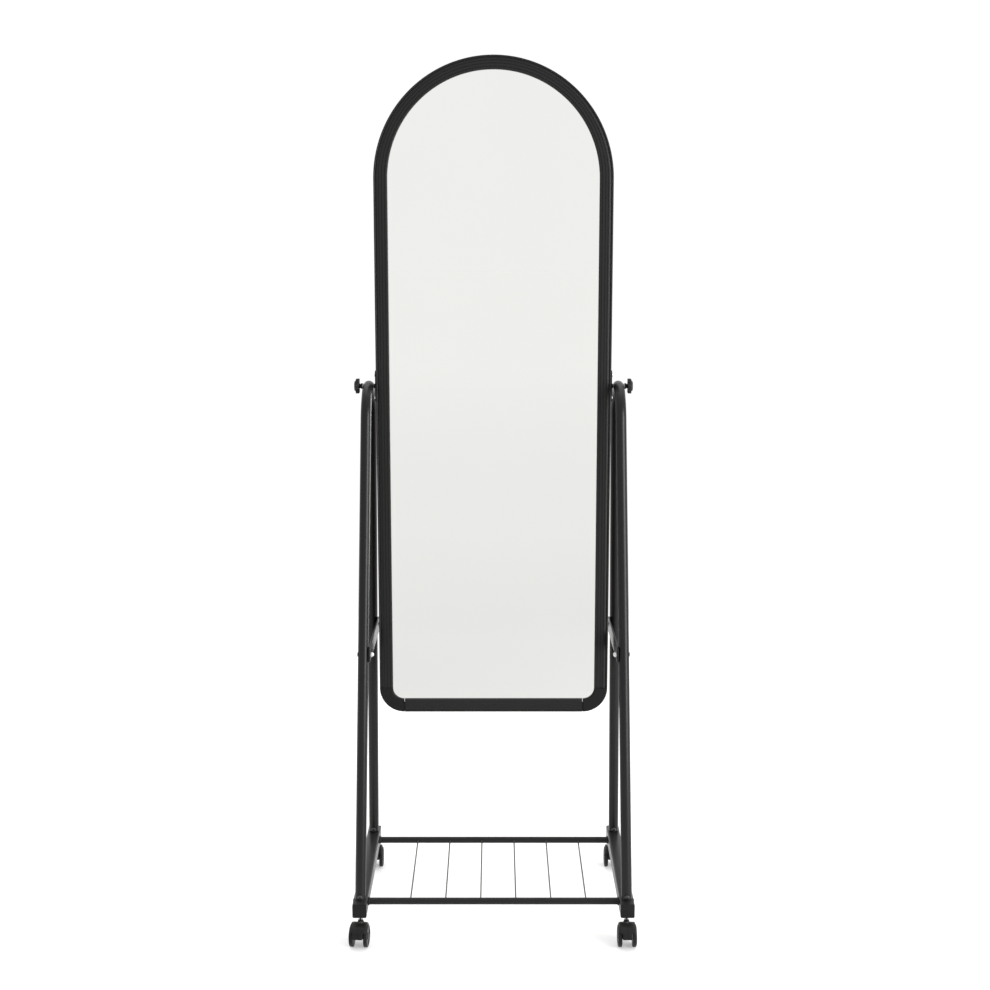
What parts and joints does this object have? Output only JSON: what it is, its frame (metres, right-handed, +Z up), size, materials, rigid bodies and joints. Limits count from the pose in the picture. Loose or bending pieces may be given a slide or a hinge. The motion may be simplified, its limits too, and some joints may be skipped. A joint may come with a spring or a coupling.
{
  "type": "cheval floor mirror",
  "caption": "Arched floor mirror in a slim black frame that tilts between two tube leg arches, with clamp knobs, a wire shelf and twin-wheel casters.",
  "frame": {"origin": "on the floor, under the middle of the stand", "axes": "+X to the right-hand side seen from the front, +Y towards the back, +Z up; the glass faces -Y"},
  "size_m": [0.512, 0.4004, 1.5579],
  "materials": {
    "black_coated_steel": "satin powder coat",
    "black_frame_profile": "satin, fine lengthwise ribs",
    "black_moulded_plastic": "fine texture",
    "knob_plastic": "fine texture",
    "caster_plastic": "satin moulded nylon",
    "black_screws": "black oxide",
    "zinc_hardware": "bright zinc plate",
    "bright_steel": "bright",
    "silvered_glass": "polished silvered float glass",
    "hardboard": "smooth brown hardboard"
  },
  "bodies": {
    "stand": {"sill_left": "black_coated_steel", "sill_right": "black_coated_steel", "sill_end_caps": "black_moulded_plastic", "leg_arch_left": "black_coated_steel", "leg_arch_right": "black_coated_steel", "foot_bolts": "zinc_hardware", "leg_brace_left": "black_coated_steel", "leg_brace_right": "black_coated_steel", "brace_bolts": "black_screws", "brace_cap_nuts": "zinc_hardware", "shelf_bar_front": "black_coated_steel", "shelf_bar_rear": "black_coated_steel", "shelf_wires": "black_coated_steel", "bar_screws": "black_screws", "caster_sockets": "black_moulded_plastic"},
    "mirror": {"mirror_frame_arch": "black_frame_profile", "frame_bottom_rail": "black_frame_profile", "corner_connector_left": "black_moulded_plastic", "corner_connector_right": "black_moulded_plastic", "corner_screws": "zinc_hardware", "mirror_glass": "silvered_glass", "backing_board": "hardboard", "pivot_bracket_left": "black_coated_steel", "pivot_bracket_right": "black_coated_steel", "bracket_screws": "zinc_hardware", "pivot_nut_left": "zinc_hardware", "pivot_nut_right": "zinc_hardware", "pivot_spacer_left": "black_moulded_plastic", "pivot_spacer_right": "black_moulded_plastic"},
    "clamp_left": {"clamp_knob_left": "knob_plastic", "clamp_stud_left": "zinc_hardware", "knob_washer_left": "zinc_hardware"},
    "clamp_right": {"clamp_knob_right": "knob_plastic", "clamp_stud_right": "zinc_hardware", "knob_washer_right": "zinc_hardware"},
    "caster_front_left": {"caster_front_left_hood": "caster_plastic", "caster_front_left_stem": "bright_steel", "caster_front_left_axle": "bright_steel"},
    "wheel_front_left_a": {"caster_front_left_wheel_a": "caster_plastic"},
    "wheel_front_left_b": {"caster_front_left_wheel_b": "caster_plastic"},
    "caster_front_right": {"caster_front_right_hood": "caster_plastic", "caster_front_right_stem": "bright_steel", "caster_front_right_axle": "bright_steel"},
    "wheel_front_right_a": {"caster_front_right_wheel_a": "caster_plastic"},
    "wheel_front_right_b": {"caster_front_right_wheel_b": "caster_plastic"},
    "caster_rear_left": {"caster_rear_left_hood": "caster_plastic", "caster_rear_left_stem": "bright_steel", "caster_rear_left_axle": "bright_steel"},
    "wheel_rear_left_a": {"caster_rear_left_wheel_a": "caster_plastic"},
    "wheel_rear_left_b": {"caster_rear_left_wheel_b": "caster_plastic"},
    "caster_rear_right": {"caster_rear_right_hood": "caster_plastic", "caster_rear_right_stem": "bright_steel", "caster_rear_right_axle": "bright_steel"},
    "wheel_rear_right_a": {"caster_rear_right_wheel_a": "caster_plastic"},
    "wheel_rear_right_b": {"caster_rear_right_wheel_b": "caster_plastic"}
  },
  "joints": [
    {"name": "mirror_tilt", "type": "hinge", "parent": "stand", "child": "mirror", "pos_m": [0, 0, 0.985], "axis": [1, 0, 0], "continuous": true},
    {"name": "clamp_left_turn", "type": "hinge", "parent": "stand", "child": "clamp_left", "pos_m": [-0.22325, 0, 0.985], "axis": [-1, 0, 0], "continuous": true},
    {"name": "clamp_right_turn", "type": "hinge", "parent": "stand", "child": "clamp_right", "pos_m": [0.22325, 0, 0.985], "axis": [1, 0, 0], "continuous": true},
    {"name": "caster_front_left_swivel", "type": "hinge", "parent": "stand", "child": "caster_front_left", "pos_m": [-0.238, -0.161, 0.05], "axis": [0, 0, 1], "continuous": true},
    {"name": "wheel_front_left_a_roll", "type": "hinge", "parent": "caster_front_left", "child": "wheel_front_left_a", "pos_m": [-0.23931, -0.17594, 0.02], "axis": [0.9962, -0.0872, 0], "continuous": true},
    {"name": "wheel_front_left_b_roll", "type": "hinge", "parent": "caster_front_left", "child": "wheel_front_left_b", "pos_m": [-0.23931, -0.17594, 0.02], "axis": [0.9962, -0.0872, 0], "continuous": true},
    {"name": "caster_front_right_swivel", "type": "hinge", "parent": "stand", "child": "caster_front_right", "pos_m": [0.238, -0.161, 0.05], "axis": [0, 0, 1], "continuous": true},
    {"name": "wheel_front_right_a_roll", "type": "hinge", "parent": "caster_front_right", "child": "wheel_front_right_a", "pos_m": [0.238, -0.176, 0.02], "axis": [1, 0, 0], "continuous": true},
    {"name": "wheel_front_right_b_roll", "type": "hinge", "parent": "caster_front_right", "child": "wheel_front_right_b", "pos_m": [0.238, -0.176, 0.02], "axis": [1, 0, 0], "continuous": true},
    {"name": "caster_rear_left_swivel", "type": "hinge", "parent": "stand", "child": "caster_rear_left", "pos_m": [-0.238, 0.161, 0.05], "axis": [0, 0, 1], "continuous": true},
    {"name": "wheel_rear_left_a_roll", "type": "hinge", "parent": "caster_rear_left", "child": "wheel_rear_left_a", "pos_m": [-0.238, 0.176, 0.02], "axis": [-1, 0, 0], "continuous": true},
    {"name": "wheel_rear_left_b_roll", "type": "hinge", "parent": "caster_rear_left", "child": "wheel_rear_left_b", "pos_m": [-0.238, 0.176, 0.02], "axis": [-1, 0, 0], "continuous": true},
    {"name": "caster_rear_right_swivel", "type": "hinge", "parent": "stand", "child": "caster_rear_right", "pos_m": [0.238, 0.161, 0.05], "axis": [0, 0, 1], "continuous": true},
    {"name": "wheel_rear_right_a_roll", "type": "hinge", "parent": "caster_rear_right", "child": "wheel_rear_right_a", "pos_m": [0.238, 0.176, 0.02], "axis": [-1, 0, 0], "continuous": true},
    {"name": "wheel_rear_right_b_roll", "type": "hinge", "parent": "caster_rear_right", "child": "wheel_rear_right_b", "pos_m": [0.238, 0.176, 0.02], "axis": [-1, 0, 0], "continuous": true}
  ]
}
